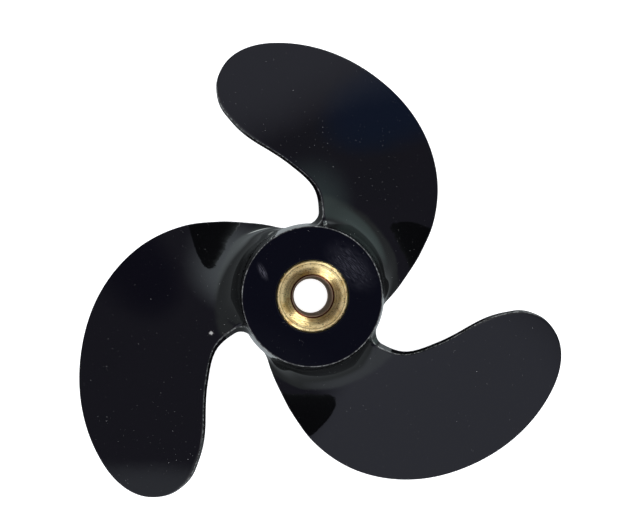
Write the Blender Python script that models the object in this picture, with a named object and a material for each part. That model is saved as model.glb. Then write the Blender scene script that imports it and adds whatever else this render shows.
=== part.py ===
"""A small right-hand boat propeller: one cast aluminium piece with three blades,
a rubber bushing pressed into its hub, and a brass inner hub for the shaft.

The shaft axis is Z. Aft, the side the water leaves by, is +Z. The hub stands on
its wide forward end, and the origin is on the axis at the centre of mass.
"""
import math

import bmesh
import bpy
import numpy as np

MM = 0.001
FIT_GAP = 0.3 * MM

DIAMETER = 190 * MM
TIP_RADIUS = DIAMETER / 2
PITCH = 178 * MM
BLADES = 3

HUB_LENGTH = 60 * MM
FORWARD_END_Z = -33 * MM
AFT_END_Z = FORWARD_END_Z + HUB_LENGTH
# The hub's flared outside: share of its length from the forward end, and radius.
HUB_FLARE = ((0.0, 32 * MM), (0.3, 30.8 * MM), (0.65, 28.7 * MM), (1.0, 25.8 * MM))
FORWARD_RADIUS = HUB_FLARE[0][1]
AFT_RADIUS = HUB_FLARE[-1][1]
FORWARD_EDGE = 1.5 * MM
AFT_EDGE = 0.5 * MM
HUB_STEPS = 96

POCKET_RADIUS = 20 * MM
POCKET_ROOF_Z = AFT_END_Z - 8 * MM
POCKET_MOUTH_CHAMFER = 1 * MM

SLEEVE_RADIUS = 13.15 * MM
SLEEVE_FORWARD_Z = FORWARD_END_Z + 1 * MM
SLEEVE_AFT_Z = AFT_END_Z + 0.5 * MM
SLEEVE_EDGE = 0.4 * MM
SEAT_RADIUS = 10.6 * MM
SEAT_DEPTH = 2.4 * MM
BORE_RADIUS = 7.5 * MM
BORE_EDGE = 0.5 * MM
SLEEVE_STEPS = 64

BUSHING_RADIUS = POCKET_RADIUS - FIT_GAP
BUSHING_BORE_RADIUS = SLEEVE_RADIUS + FIT_GAP
BUSHING_FORWARD_Z = FORWARD_END_Z + 3 * MM
BUSHING_AFT_Z = POCKET_ROOF_Z - FIT_GAP
BUSHING_EDGE = 1 * MM

# One blade's outline seen from aft, from the tip inwards: radius in mm, then the
# angle of its middle line against the clock from +X and half its width, in degrees.
BLADE_PLAN = (
    (95, 99.5, 0),
    (93.5, 97, 9.5),
    (89, 93, 18.8),
    (82, 87.5, 27.8),
    (72, 80.5, 35.5),
    (59, 70.5, 39.9),
    (49, 60.2, 39.6),
    (40, 49, 40),
    (32, 39.5, 46.5),
    (22, 25, 61),
)
BLADE_STATIONS = (95, 94.6, 93.5, 91.5, 89, 86, 82, 77, 72, 66, 60, 55, 50, 46, 42.5)
# Height of the pressure face over the hub's forward end, at the angle zero.
FACE_RISE = 12.6 * MM
CHORD_POINTS = 14

ROOT_THICKNESS = 8 * MM
TIP_THICKNESS = 2.6 * MM
LEADING_EDGE_THICKNESS = 1.4 * MM
TRAILING_EDGE_ROOT = 3.2 * MM
TRAILING_EDGE_TIP = 2 * MM
# Over this distance from the tip the sections become plates of one thickness.
TIP_BLEND = 6 * MM

FILLET_RADIUS = 9 * MM
FILLET_RADIUS_TRAILING = 5 * MM
FILLET_RADIUS_LEADING = 2 * MM
FILLET_STEPS_DEG = (90, 68, 48, 30, 0)
# The fillet's foot is sunk this far under the hub's skin, so that they cross cleanly.
FILLET_SINK = 0.8 * MM
ROOT_CAP_RADIUS = 22.5 * MM


def clear_scene():
    """Remove every object, so that the model starts from an empty scene."""
    for thing in list(bpy.data.objects):
        bpy.data.objects.remove(thing, do_unlink=True)


def plain_material(name, colour, roughness, metallic):
    """Return a Principled material of one linear colour."""
    material = bpy.data.materials.new(name)
    material.use_nodes = True
    shader = material.node_tree.nodes["Principled BSDF"]
    shader.inputs["Base Color"].default_value = (*colour, 1.0)
    shader.inputs["Roughness"].default_value = roughness
    shader.inputs["Metallic"].default_value = metallic
    return material


def add_object(name, mesh_maker, material):
    """Write a bmesh into a new named object and link it to the scene."""
    mesh = bpy.data.meshes.new(name)
    bmesh.ops.recalc_face_normals(mesh_maker, faces=mesh_maker.faces)
    mesh_maker.to_mesh(mesh)
    mesh_maker.free()
    mesh.shade_smooth()
    mesh.set_sharp_from_angle(angle=math.radians(35))
    mesh.materials.append(material)
    thing = bpy.data.objects.new(name, mesh)
    bpy.context.scene.collection.objects.link(thing)
    return thing


def turned(profile, steps):
    """Spin a closed outline of (radius, height) points once round the shaft axis."""
    maker = bmesh.new()
    corners = [maker.verts.new((radius, 0.0, height)) for radius, height in profile]
    outline = [maker.edges.new((a, b)) for a, b in zip(corners, corners[1:] + corners[:1])]
    bmesh.ops.spin(
        maker,
        geom=corners + outline,
        cent=(0, 0, 0),
        axis=(0, 0, 1),
        angle=2 * math.pi,
        steps=steps,
        use_merge=True,
    )
    bmesh.ops.remove_doubles(maker, verts=maker.verts, dist=1e-6)
    return maker


def smooth_value(at, places, values):
    """Follow a smooth curve through the given values, with slopes from their neighbours."""
    places = np.asarray(places, float)
    values = np.asarray(values, float)
    slopes = np.gradient(values, places)
    k = int(np.clip(np.searchsorted(places, at) - 1, 0, len(places) - 2))
    step = places[k + 1] - places[k]
    t = (at - places[k]) / step
    start = (1 + 2 * t) * (1 - t) ** 2 * values[k] + t * (1 - t) ** 2 * step * slopes[k]
    end = t * t * (3 - 2 * t) * values[k + 1] + t * t * (t - 1) * step * slopes[k + 1]
    return float(start + end)


def hub_radius(height):
    """Radius of the hub's flared outside at a height."""
    share = min(max((height - FORWARD_END_Z) / HUB_LENGTH, 0.0), 1.0)
    shares, radii = zip(*HUB_FLARE)
    return smooth_value(share, shares, radii)


def hub_outline():
    """Half section of the solid hub, from its aft centre down its flared side."""
    side = []
    for share in np.linspace(1, 0, 9)[1:-1]:
        height = FORWARD_END_Z + share * HUB_LENGTH
        side.append((hub_radius(height), height))
    return [
        (0.0, AFT_END_Z),
        (AFT_RADIUS - AFT_EDGE, AFT_END_Z),
        (AFT_RADIUS, AFT_END_Z - AFT_EDGE),
        *side,
        (FORWARD_RADIUS, FORWARD_END_Z + FORWARD_EDGE),
        (FORWARD_RADIUS - FORWARD_EDGE, FORWARD_END_Z),
        (0.0, FORWARD_END_Z),
    ]


def pocket_outline():
    """Half section of the space in the hub: the bushing's pocket and the sleeve's hole."""
    past_end = 5 * MM
    hole = SLEEVE_RADIUS + FIT_GAP
    return [
        (0.0, AFT_END_Z + past_end),
        (hole, AFT_END_Z + past_end),
        (hole, POCKET_ROOF_Z),
        (POCKET_RADIUS, POCKET_ROOF_Z),
        (POCKET_RADIUS, FORWARD_END_Z + POCKET_MOUTH_CHAMFER),
        (POCKET_RADIUS + POCKET_MOUTH_CHAMFER, FORWARD_END_Z),
        (POCKET_RADIUS + POCKET_MOUTH_CHAMFER, FORWARD_END_Z - past_end),
        (0.0, FORWARD_END_Z - past_end),
    ]


def blade_plan(radius):
    """Angles of the blade's leading and trailing edge at a radius, seen from aft.

    The curves run in the square root of the distance from the tip, so that the
    outline is round there.
    """
    inward = [math.sqrt(DIAMETER / 2 / MM - row[0]) for row in BLADE_PLAN]
    at = math.sqrt(max(TIP_RADIUS - radius, 0.0) / MM)
    middle = smooth_value(at, inward, [row[1] for row in BLADE_PLAN])
    half = smooth_value(at, inward, [row[2] for row in BLADE_PLAN])
    return math.radians(middle - half), math.radians(middle + half)


def chord_place(radius, share, deep):
    """Angle and height of a point of a section, and its blade thickness there.

    Share runs from the leading edge, 0, to the trailing edge, 1, and deep from the
    pressure face, 0, to the back, 1. The face is a true helix of the pitch.
    """
    leading, trailing = blade_plan(radius)
    span = min(max((radius - AFT_RADIUS) / (TIP_RADIUS - AFT_RADIUS), 0.0), 1.0)
    thickest = ROOT_THICKNESS + (TIP_THICKNESS - ROOT_THICKNESS) * span
    wall = TRAILING_EDGE_ROOT + (TRAILING_EDGE_TIP - TRAILING_EDGE_ROOT) * span
    tip_share = max(0.0, 1 - (TIP_RADIUS - radius) / TIP_BLEND) ** 2
    hidden = wall * math.sin(math.atan2(PITCH, 2 * math.pi * radius)) / radius
    face_leading = leading - hidden * tip_share
    face_trailing = trailing - hidden
    angle = face_leading + (face_trailing - face_leading) * share
    height = FORWARD_END_Z + FACE_RISE + PITCH * angle / (2 * math.pi)
    ends = LEADING_EDGE_THICKNESS * (1 - share) + wall * share
    belly = thickest - (LEADING_EDGE_THICKNESS + wall) / 2
    thickness = ends + belly * 4 * share * (1 - share)
    thickness += (wall - thickness) * tip_share
    return section_point(radius, angle, height, 0.0, -thickness * deep)


def section_point(radius, angle, height, along, out):
    """Move a point along its helix and square to it, on the cylinder of its radius.

    Along is the distance towards the trailing edge, and out is the distance aft.
    """
    slope = math.atan2(PITCH, 2 * math.pi * radius)
    turn = (along * math.cos(slope) - out * math.sin(slope)) / radius
    rise = along * math.sin(slope) + out * math.cos(slope)
    return angle + turn, height + rise


def section_walk():
    """Share, depth and outward direction of each point round a section.

    The walk goes along the pressure face to the trailing edge and back behind it.
    """
    diagonal = math.sqrt(0.5)
    walk = []
    for deep, side in ((0, 1), (1, -1)):
        shares = np.linspace(0, 1, CHORD_POINTS)
        for share in shares if side == 1 else shares[::-1]:
            along = {0: -diagonal, 1: diagonal}.get(share, 0.0)
            out = side * (diagonal if along else 1.0)
            walk.append((share, deep, along, out))
    return walk


def fillet_radius(share):
    """Radius of the root fillet, which shrinks towards the leading and the trailing edge."""
    grown = math.sin(min(share / 0.3, 1.0) * math.pi / 2)
    shrunk = max(0.0, 1 - (1 - share) / 0.2) ** 2
    size = FILLET_RADIUS_LEADING + (FILLET_RADIUS - FILLET_RADIUS_LEADING) * grown
    return size + (FILLET_RADIUS_TRAILING - FILLET_RADIUS) * shrunk


def root_point(share, deep, along, out, fillet_angle):
    """Point of the root fillet, whose quarter round runs from the blade to the hub.

    Its radius and height depend on each other, so they are settled in a few rounds.
    """
    size = fillet_radius(share)
    reach = size * (1 - math.sin(fillet_angle))
    climb = size * (1 - math.cos(fillet_angle)) - FILLET_SINK * math.cos(fillet_angle)
    radius = AFT_RADIUS + climb
    for _ in range(8):
        angle, height = chord_place(radius, share, deep)
        angle, height = section_point(radius, angle, height, along * reach, out * reach)
        radius = hub_radius(height) + climb
    return radius, angle, height


def blade_sections():
    """Closed loops of one blade, from the tip down through the fillet into the hub."""
    walk = section_walk()
    loops = []
    for station in BLADE_STATIONS:
        radius = station * MM
        loops.append([(radius, *chord_place(radius, share, deep)) for share, deep, _, _ in walk])
    for step in FILLET_STEPS_DEG:
        loops.append([root_point(*place, math.radians(step)) for place in walk])
    loops.append([(ROOT_CAP_RADIUS, angle, height) for _, angle, height in loops[-1]])
    return [
        np.array([(r * math.cos(angle), r * math.sin(angle), height) for r, angle, height in loop])
        for loop in loops
    ]


def blade_bodies():
    """Three closed blades, each bridged through its sections from the tip into the hub."""
    maker = bmesh.new()
    sections = blade_sections()
    around = 2 * CHORD_POINTS
    for blade in range(BLADES):
        turn = 2 * math.pi * blade / BLADES
        cosine, sine = math.cos(turn), math.sin(turn)
        spin = np.array([[cosine, sine, 0], [-sine, cosine, 0], [0, 0, 1]])
        rings = [[maker.verts.new(point) for point in section @ spin] for section in sections]
        for outer, inner in zip(rings, rings[1:]):
            for k in range(around):
                j = (k + 1) % around
                maker.faces.new((inner[k], inner[j], outer[j], outer[k]))
        cap = rings[-1]
        for k in range(CHORD_POINTS - 1):
            far = around - 1 - k
            maker.faces.new((cap[k], cap[k + 1], cap[far - 1], cap[far]))
    bmesh.ops.remove_doubles(maker, verts=maker.verts, dist=1e-6)
    return maker


def add_boolean(thing, name, operation, other):
    """Join another object to this one, or cut it away, with an exact Boolean modifier."""
    modifier = thing.modifiers.new(name, "BOOLEAN")
    modifier.operation = operation
    modifier.solver = "EXACT"
    modifier.object = other
    other.hide_render = True
    other.display_type = "WIRE"


def make_casting(material):
    """The hub and its three blades, which are one casting, with the pocket bored out."""
    casting = add_object("propeller_casting", turned(hub_outline(), HUB_STEPS), material)
    blades = add_object("blade_guide", blade_bodies(), material)
    pocket = add_object("pocket_cutter", turned(pocket_outline(), HUB_STEPS), material)
    add_boolean(casting, "join blades", "UNION", blades)
    add_boolean(casting, "bore pocket", "DIFFERENCE", pocket)
    return casting


def make_bushing(material):
    """The rubber ring between the casting and the brass, which slips when a blade strikes."""
    outline = [
        (BUSHING_BORE_RADIUS, BUSHING_AFT_Z),
        (BUSHING_RADIUS - BUSHING_EDGE, BUSHING_AFT_Z),
        (BUSHING_RADIUS, BUSHING_AFT_Z - BUSHING_EDGE),
        (BUSHING_RADIUS, BUSHING_FORWARD_Z + BUSHING_EDGE),
        (BUSHING_RADIUS - BUSHING_EDGE, BUSHING_FORWARD_Z),
        (BUSHING_BORE_RADIUS, BUSHING_FORWARD_Z),
    ]
    return add_object("rubber_bushing", turned(outline, HUB_STEPS), material)


def make_inner_hub(material):
    """The brass sleeve: a turned seat for the nut at its aft end, and a plain bore."""
    outline = [
        (SEAT_RADIUS, SLEEVE_AFT_Z),
        (SLEEVE_RADIUS - SLEEVE_EDGE, SLEEVE_AFT_Z),
        (SLEEVE_RADIUS, SLEEVE_AFT_Z - SLEEVE_EDGE),
        (SLEEVE_RADIUS, SLEEVE_FORWARD_Z + SLEEVE_EDGE),
        (SLEEVE_RADIUS - SLEEVE_EDGE, SLEEVE_FORWARD_Z),
        (BORE_RADIUS + BORE_EDGE, SLEEVE_FORWARD_Z),
        (BORE_RADIUS, SLEEVE_FORWARD_Z + BORE_EDGE),
        (BORE_RADIUS, SLEEVE_AFT_Z - SEAT_DEPTH - BORE_EDGE),
        (BORE_RADIUS + BORE_EDGE, SLEEVE_AFT_Z - SEAT_DEPTH),
    ]
    return add_object("brass_inner_hub", turned(outline, SLEEVE_STEPS), material)


def build():
    """Make the three pieces of the propeller."""
    clear_scene()
    enamel = plain_material("black_enamel_on_aluminium", (0.006, 0.006, 0.008), 0.18, 0.0)
    rubber = plain_material("black_rubber", (0.012, 0.012, 0.012), 0.75, 0.0)
    brass = plain_material("turned_brass", (0.58, 0.42, 0.16), 0.3, 1.0)
    make_casting(enamel)
    make_bushing(rubber)
    make_inner_hub(brass)


build()
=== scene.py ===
# %% [markdown]
# This lesson dresses a small boat propeller: one black enamelled casting with three
# swept blades, a turned brass sleeve in its hub, and a rubber ring between the two.
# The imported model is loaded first. It fixes where everything is and how big it is, so
# the lesson only gives it a finer surface, its finishes, a floor, light and a camera.

import math

import bmesh
import bpy
import numpy as np
from mathutils import Matrix, Vector


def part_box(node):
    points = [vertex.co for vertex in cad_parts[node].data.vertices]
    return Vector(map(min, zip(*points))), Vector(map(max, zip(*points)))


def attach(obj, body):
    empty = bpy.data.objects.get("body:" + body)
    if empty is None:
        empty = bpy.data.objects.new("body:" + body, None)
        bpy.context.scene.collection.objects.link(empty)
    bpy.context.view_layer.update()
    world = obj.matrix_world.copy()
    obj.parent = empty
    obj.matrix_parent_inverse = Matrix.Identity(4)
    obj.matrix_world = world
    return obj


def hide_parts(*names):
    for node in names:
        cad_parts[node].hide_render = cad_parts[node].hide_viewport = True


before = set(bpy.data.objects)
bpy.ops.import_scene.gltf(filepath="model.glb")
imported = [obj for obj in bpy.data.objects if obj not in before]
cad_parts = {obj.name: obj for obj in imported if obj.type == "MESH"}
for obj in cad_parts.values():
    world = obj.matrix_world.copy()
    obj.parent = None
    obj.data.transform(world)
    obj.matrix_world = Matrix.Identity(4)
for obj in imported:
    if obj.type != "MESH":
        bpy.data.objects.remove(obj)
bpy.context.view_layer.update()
print("nodes:", sorted(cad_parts))

# %% [markdown]
# A propeller is drawn from a few numbers: its diameter, its pitch, which is how far it
# would screw forward in one turn, and its hub. The shaft axis is Z and aft is +Z, so
# the camera looks down on the side that pushes the water. The hub stands on its
# forward end, and the frame says how high that is.

# %% Name the driving sizes
MM = 0.001
TURN = 2 * math.pi
BLADES = 3
TIP_RADIUS = 95 * MM
PITCH = 178 * MM
RISE = PITCH / TURN

casting_low, casting_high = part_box("propeller_casting")
brass_low, brass_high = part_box("brass_inner_hub")
rubber_low, rubber_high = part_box("rubber_bushing")

FORWARD_Z = casting_low.z
SLEEVE_PROUD = 0.5 * MM
AFT_Z = brass_high.z - SLEEVE_PROUD
HUB_LENGTH = AFT_Z - FORWARD_Z
HUB_SHARES = (0.0, 0.3, 0.65, 1.0)
HUB_RADII = (32 * MM, 30.8 * MM, 28.7 * MM, 25.8 * MM)
print("hub length in mm:", round(HUB_LENGTH / MM, 2))

# %% [markdown]
# The hub is a flared tube and the blade's outline is a smooth curve, and both are
# known at a few places. A cubic curve through those places, with the slope at each
# taken from its neighbours, gives every value between them. It works on whole arrays,
# so a surface with thousands of points takes one call.

# %% Smooth curves through a few known values
def smooth_curve(at, places, values):
    """Cubic between each pair of places: value and slope are met at both ends.

    The slope at a place is the weighted mean of the slopes on its two sides.
    """
    places = np.asarray(places, float)
    values = np.asarray(values, float)
    slopes = np.gradient(values, places)
    k = np.clip(np.searchsorted(places, at) - 1, 0, len(places) - 2)
    step = places[k + 1] - places[k]
    t = (at - places[k]) / step
    start = (1 + 2 * t) * (1 - t) ** 2 * values[k] + t * (1 - t) ** 2 * step * slopes[k]
    end = t * t * (3 - 2 * t) * values[k + 1] + t * t * (t - 1) * step * slopes[k + 1]
    return start + end


def ease(share):
    """Smooth step: 3 s squared minus 2 s cubed, flat at both ends, for s from 0 to 1."""
    share = np.clip(share, 0.0, 1.0)
    return share * share * (3 - 2 * share)


def hub_radius(height):
    """Radius of the hub's flared outside at a height."""
    share = np.clip((height - FORWARD_Z) / HUB_LENGTH, 0.0, 1.0)
    return smooth_curve(share, HUB_SHARES, HUB_RADII)


print("hub radius at mid height in mm:", round(float(hub_radius(np.array(0.0))) / MM, 2))

# %% [markdown]
# Seen from aft, each blade is swept like a scimitar. Its outline is given by rows of
# radius, the angle of the middle line and half the width in degrees. The rows are read
# in the square root of the distance from the tip: in that measure the outline passes
# round the tip at an even pace, and the tip comes out round instead of pointed.

# %% Outline of one blade
BLADE_PLAN = np.array([
    (95, 99.5, 0),
    (93.5, 97, 9.5),
    (89, 93, 18.8),
    (82, 87.5, 27.8),
    (72, 80.5, 35.5),
    (59, 70.5, 39.9),
    (49, 60.2, 39.6),
    (40, 49, 40),
    (32, 39.5, 46.5),
    (22, 25, 61),
])
PLAN_INWARD = np.sqrt(TIP_RADIUS / MM - BLADE_PLAN[:, 0])
TRAILING_ROOT = 3.2 * MM
TRAILING_TIP = 2 * MM
TIP_BLEND = 6 * MM


def helix_slope(radius):
    """Slope angle of the pitch helix: arc tangent of the rise over the radius."""
    return np.arctan2(RISE, radius)


def root_to_tip(radius):
    """Share of the way from the hub's aft radius to the tip, from 0 to 1."""
    return np.clip((radius - HUB_RADII[-1]) / (TIP_RADIUS - HUB_RADII[-1]), 0.0, 1.0)


def trailing_wall(radius):
    """Thickness of the plain trailing edge, tapering from the root to the tip."""
    return TRAILING_ROOT + (TRAILING_TIP - TRAILING_ROOT) * root_to_tip(radius)


def tip_share(radius):
    """Square of the share of the last few millimetres, where the blade is a plate."""
    return np.maximum(0.0, 1 - (TIP_RADIUS - radius) / TIP_BLEND) ** 2


def face_edges(radius):
    """Angles of the pressure face's leading and trailing edge at a radius.

    The outline is the middle angle less or plus half the width. The trailing wall
    leans outwards by its thickness times the sine of the slope, so the face itself
    ends that much earlier.
    """
    inward = np.sqrt(np.maximum(TIP_RADIUS - radius, 0.0) / MM)
    middle = np.radians(smooth_curve(inward, PLAN_INWARD, BLADE_PLAN[:, 1]))
    half = np.radians(smooth_curve(inward, PLAN_INWARD, BLADE_PLAN[:, 2]))
    hidden = trailing_wall(radius) * np.sin(helix_slope(radius)) / radius
    return middle - half - hidden * tip_share(radius), middle + half - hidden


widest = np.degrees(np.subtract(*face_edges(np.array(59 * MM))[::-1]))
print("pressure face in degrees at 59 mm:", round(float(widest), 1))

# %% [markdown]
# Cut along a cylinder round the shaft and unrolled, a blade is straight on the side that
# pushes and gently bellied behind, thick near the hub for strength and thin at the tip.
# So its back is the face moved square to the helix by a thickness, and one function
# makes all such moves.

# %% Thickness of one blade
ROOT_THICKNESS = 8 * MM
TIP_THICKNESS = 2.6 * MM
LEADING_THICKNESS = 1.4 * MM
FACE_RISE = 12.6 * MM


def blade_thickness(radius, share):
    """Straight taper between the edges plus a parabola 4 s (1 - s) of belly."""
    wall = trailing_wall(radius)
    ends = LEADING_THICKNESS * (1 - share) + wall * share
    thickest = ROOT_THICKNESS + (TIP_THICKNESS - ROOT_THICKNESS) * root_to_tip(radius)
    belly = thickest - (LEADING_THICKNESS + wall) / 2
    thickness = ends + belly * 4 * share * (1 - share)
    return thickness + (wall - thickness) * tip_share(radius)


def move_square(radius, angle, height, along, out):
    """Move points along their helix and square to it, on the cylinder they lie on.

    The angle grows by along times cosine less out times sine, over the radius, and
    the height by along times sine plus out times cosine.
    """
    slope = helix_slope(radius)
    turn = (along * np.cos(slope) - out * np.sin(slope)) / radius
    rise = along * np.sin(slope) + out * np.cos(slope)
    return angle + turn, height + rise


def face_height(angle):
    """Height of the pressure face: a true helix, so it grows with the angle alone."""
    return FORWARD_Z + FACE_RISE + RISE * angle


middle_thickness = blade_thickness(np.array(59 * MM), 0.5)
print("thickness in mm half way along the face at 59 mm:", round(float(middle_thickness) / MM, 2))

# %% [markdown]
# A cast blade has no knife edges: every corner is rounded by half a millimetre or so,
# and that round is what catches the light as a thin bright line. Boolean cuts and
# bevels would make it lumpy on such a twisted shape, so the blade is laid out as one
# grid that wraps round its outline. The columns run along the edge, up the leading
# side, round the tip and down the trailing side. The rows run from a spine in the middle
# of the face, over the rounded edge, down the wall and back in behind to the spine.

# %% Rows of the blade's grid
EDGE_ROUND = 0.45 * MM
BACK_ROUND = 0.55 * MM
ROUND_STEPS = 8
WALL_STEPS = 4
INNER_ROWS = 26
INNER_POWER = 1.4

inner_shares = np.linspace(0, 1, INNER_ROWS + 1)[1:] ** INNER_POWER
round_places = EDGE_ROUND * (1 - np.cos(np.linspace(0, math.pi / 2, ROUND_STEPS + 1)))
wall_shares = np.linspace(0, 1, WALL_STEPS + 1)[1:-1]


def there_and_back(inwards, wall):
    """One line of values over the face, down the wall and back behind the face."""
    return np.concatenate([inwards[::-1], wall, inwards])


# Of each row: how far to the spine, how far inside the edge, how far down the wall.
to_spine = there_and_back(np.append(np.zeros(ROUND_STEPS + 1), inner_shares), 0 * wall_shares)
in_from_edge = np.append(round_places, np.full(INNER_ROWS, EDGE_ROUND))
in_from_edge = there_and_back(in_from_edge, 0 * wall_shares)
half_rows = INNER_ROWS + ROUND_STEPS + 1
down_wall = np.concatenate([np.zeros(half_rows), wall_shares, np.ones(half_rows)])
print("rows of the blade's grid:", len(down_wall))

# %% [markdown]
# The columns need an even pace round the tip, where the outline turns back on itself. A
# walk along the outline that counts the square root of the distance from the tip gives
# that pace. A point inside the edge lies square to the outline. Near the root it slides
# along the edge, so that the grid ends on one cylinder, where the root takes over.

# %% Grid of one blade outside the root
EDGE_COLUMNS = 84
ROOT_START = 46 * MM
SPINE_END = 82 * MM
SPINE_POWER = 1.5
# Where the slide starts and how long it takes, on the walk, which is 7 at the grid's end.
SLIDE_START = 5.0
SLIDE_LENGTH = 1.5


def edge_place(walk):
    """Radius and angle on the face's outline, for a walk that is 0 at the tip.

    The radius is the tip's less the square of the walk. Negative is the leading side.
    """
    radius = TIP_RADIUS - walk**2 * MM
    leading, trailing = face_edges(radius)
    return radius, np.where(walk < 0, leading, trailing)


def edge_direction(walk):
    """Unit direction of the outline, as parts square to the radius and along it.

    Lengths on a helical face are the angle times the root of radius and rise squared.
    """
    small = 1e-4
    radius_before, angle_before = edge_place(walk - small)
    radius_after, angle_after = edge_place(walk + small)
    across = np.hypot((radius_before + radius_after) / 2, RISE) * (angle_after - angle_before)
    outward = radius_after - radius_before
    length = np.hypot(across, outward)
    return across / length, outward / length


def depth_under_face(radius, angle, inside, wall):
    """Depth of a point under the helical face: r less the root of r squared less the
    missing distance squared on each round, and the thickness at the back."""
    leading, trailing = face_edges(radius)
    share = np.clip((angle - leading) / np.maximum(trailing - leading, 1e-9), 0.0, 1.0)
    bow = 1 - np.sqrt(1 - (1 - inside / EDGE_ROUND) ** 2)
    face = EDGE_ROUND * bow
    back = blade_thickness(radius, share) - BACK_ROUND * bow
    return face + (back - face) * wall, share


def blade_grid():
    """Rows of (radius, angle, depth) over one blade, a column for each step of the edge.

    A point inside the edge lies square to it, and near the root it slides along the
    edge until it is at the edge's own radius. Inner points go straight to the spine.
    """
    reach = math.sqrt((TIP_RADIUS - ROOT_START) / MM)
    walk = np.linspace(-reach, reach, 2 * EDGE_COLUMNS + 1)[:, None]
    radius, angle = edge_place(walk)
    across, outward = edge_direction(walk)
    sliding = ease((np.abs(walk) - SLIDE_START) / SLIDE_LENGTH)
    slide = np.where(sliding > 0, sliding * across / np.where(sliding > 0, outward, 1), 0)
    step_out = slide * outward - across
    step_across = outward + slide * across
    radii = radius + in_from_edge * step_out
    angles = angle + in_from_edge * step_across / np.hypot(radius, RISE)
    spine_share = (np.abs(walk) / reach) ** SPINE_POWER
    spine_radius = SPINE_END - (SPINE_END - ROOT_START) * spine_share
    spine_angle = sum(face_edges(spine_radius)) / 2
    radii = radii + (spine_radius - radii) * to_spine
    angles = angles + (spine_angle - angles) * to_spine
    depth, _ = depth_under_face(radii, angles, in_from_edge, down_wall)
    return radii, angles, depth


grid_radius, grid_angle, grid_depth = blade_grid()
print("blade grid:", grid_radius.shape)

# %% [markdown]
# Between the grid and the hub, a blade is a stack of closed sections, like slices across
# it. Each is made in two halves, over the leading edge and over the trailing edge, with
# the grid's own rows, so that the root and the grid meet point for point.

# %% Closed section of one blade
LINE = len(to_spine)


def half_loop(radius, side):
    """Angle, height and share of one half of a section, over the leading edge or the
    trailing edge, with every point at its own radius and the grid's own rows."""
    walk = side * np.sqrt((TIP_RADIUS - radius) / MM)
    _, outward = edge_direction(walk)
    leading, trailing = face_edges(radius)
    edge = leading if side < 0 else trailing
    angle = edge + in_from_edge / outward / np.hypot(radius, RISE)
    angle = angle + ((leading + trailing) / 2 - angle) * to_spine
    depth, share = depth_under_face(radius, angle, in_from_edge, down_wall)
    angle, height = move_square(radius, angle, face_height(angle), 0.0, -depth)
    return angle, height, share


def section_loop(radius):
    """Closed loop round a section: over the leading edge, then back over the trailing."""
    over_leading = half_loop(radius[:LINE], -1)
    over_trailing = half_loop(np.append(radius[LINE - 1:], radius[0])[::-1], 1)
    return [np.concatenate([a, b[-2:0:-1]]) for a, b in zip(over_leading, over_trailing)]


print("points round a section:", len(section_loop(np.full(2 * LINE - 2, ROOT_START))[0]))

# %% [markdown]
# Where a blade leaves the hub, the pattern maker leaves a generous round, so that the
# metal runs into the mould and the blade doesn't snap off. Each point round the blade's
# root follows its own quarter circle down to the hub: large on the broad sides, small at
# the sharp leading edge. The hub flares, so a point's radius depends on its height and
# its height on its radius, and a few repeats settle both.

# %% Root of one blade, down to the hub
ROOT_ROWS = 9
FILLET_ROWS = 14
SETTLING = 12
FILLET_ROUND = 9 * MM
FILLET_TRAILING = 5 * MM
FILLET_LEADING = 2 * MM
FILLET_GROWS = 0.3
FILLET_SHRINKS = 0.2


def fillet_round(share):
    """Radius of the root's round: small in front, grown by a quarter sine, less behind."""
    grown = np.sin(np.minimum(share / FILLET_GROWS, 1.0) * math.pi / 2)
    shrunk = np.maximum(0.0, 1 - (1 - share) / FILLET_SHRINKS) ** 2
    size = FILLET_LEADING + (FILLET_ROUND - FILLET_LEADING) * grown
    return size + (FILLET_TRAILING - FILLET_ROUND) * shrunk


def outward_directions(radius, angle, height):
    """Unit direction away from the loop, square to the mean of its two neighbour edges,
    as parts along the helix and square to it."""
    across = radius * (np.roll(angle, -1) - angle)
    rising = np.roll(height, -1) - height
    length = np.hypot(across, rising)
    across, rising = across / length, rising / length
    across, rising = across + np.roll(across, 1), rising + np.roll(rising, 1)
    length = np.hypot(across, rising)
    across, rising = rising / length, -across / length
    slope = helix_slope(radius)
    along = across * np.cos(slope) + rising * np.sin(slope)
    return along, rising * np.cos(slope) - across * np.sin(slope)


def blade_root():
    """Rows of (radius, angle, height) from the blade grid's end to the hub's skin."""
    radius = np.full(2 * LINE - 2, ROOT_START)
    for _ in range(SETTLING):
        angle, height, share = section_loop(radius)
        size = fillet_round(share)
        radius = hub_radius(height) + size
    along, out = outward_directions(radius, angle, height)
    rows = []
    for step in np.linspace(0, 1, ROOT_ROWS + 1):
        part = ROOT_START + (radius - ROOT_START) * step
        rows.append((part, *section_loop(part)[:2]))
    for turned in np.linspace(math.pi / 2, 0, FILLET_ROWS + 1)[1:]:
        climb = size * (1 - math.cos(turned))
        reach = size * (1 - math.sin(turned))
        for _ in range(SETTLING):
            angle, height, _ = section_loop(part)
            angle, height = move_square(part, angle, height, along * reach, out * reach)
            part = hub_radius(height) + climb
        rows.append((part, angle, height))
    return np.stack(rows, 1)


root_rows = blade_root()
_, foot_angle, foot_height = root_rows[:, -1]
print("root rows and points:", *root_rows.shape[1:])
print("foot heights in mm:", np.round([foot_height.min() / MM, foot_height.max() / MM], 1))

# %% [markdown]
# The rest of the hub's skin has to meet the three feet without a seam, because gloss
# paint shows every crack and crease. Unwound along the helix, a foot is a long upright
# shape, so a third of the skin splits into four plain grids round it: one at each side,
# one below and one above. Their points lie on the flared surface itself.

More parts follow.
